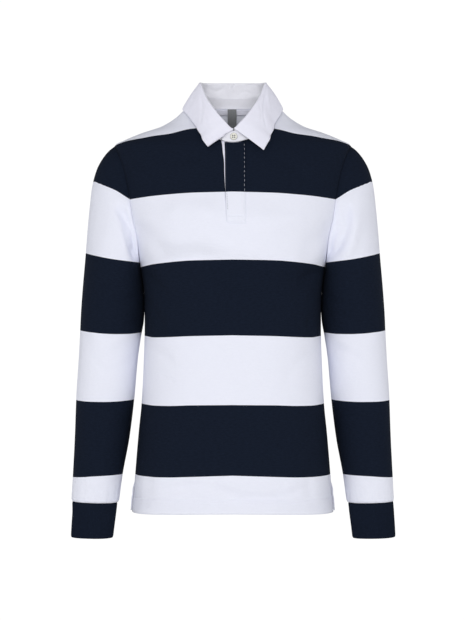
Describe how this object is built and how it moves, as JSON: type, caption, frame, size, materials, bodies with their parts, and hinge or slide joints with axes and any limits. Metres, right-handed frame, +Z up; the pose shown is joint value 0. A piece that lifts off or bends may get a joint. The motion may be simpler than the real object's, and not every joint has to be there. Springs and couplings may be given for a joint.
{
  "type": "rugby shirt",
  "caption": "Long-sleeved rugby shirt in worn form, broad navy and white stripes, white twill collar, buttoned half placket and navy rib cuffs.",
  "frame": {"origin": "midway between the two high points of the shoulders, where the collar meets the shoulder seams; the wearer's shoulders hold the shirt here", "axes": "+Z up, -Y out of the shirt's front, +X to the wearer's left"},
  "size_m": [0.5616, 0.2478, 0.797],
  "materials": {
    "striped_jersey": "heavy cotton jersey in broad navy and white stripes",
    "navy_rib": "navy cotton rib knit",
    "white_twill": "white cotton twill",
    "neck_tape": "white herringbone cotton tape",
    "grey_label": "plain dark grey woven label, blank",
    "button": "cream polyester resin, satin",
    "white_thread": "white polyester sewing thread",
    "navy_thread": "navy polyester sewing thread"
  },
  "bodies": {
    "root": {"front": "striped_jersey", "back": "striped_jersey", "sleeve_left": "striped_jersey", "sleeve_right": "striped_jersey", "cuff_left": "navy_rib", "cuff_right": "navy_rib", "collar_stand": "white_twill", "collar_fall": "white_twill", "placket_flap": "striped_jersey", "placket_under": "white_twill", "neck_tape": "neck_tape", "label": "grey_label", "button_collar": "button"}
  },
  "joints": []
}
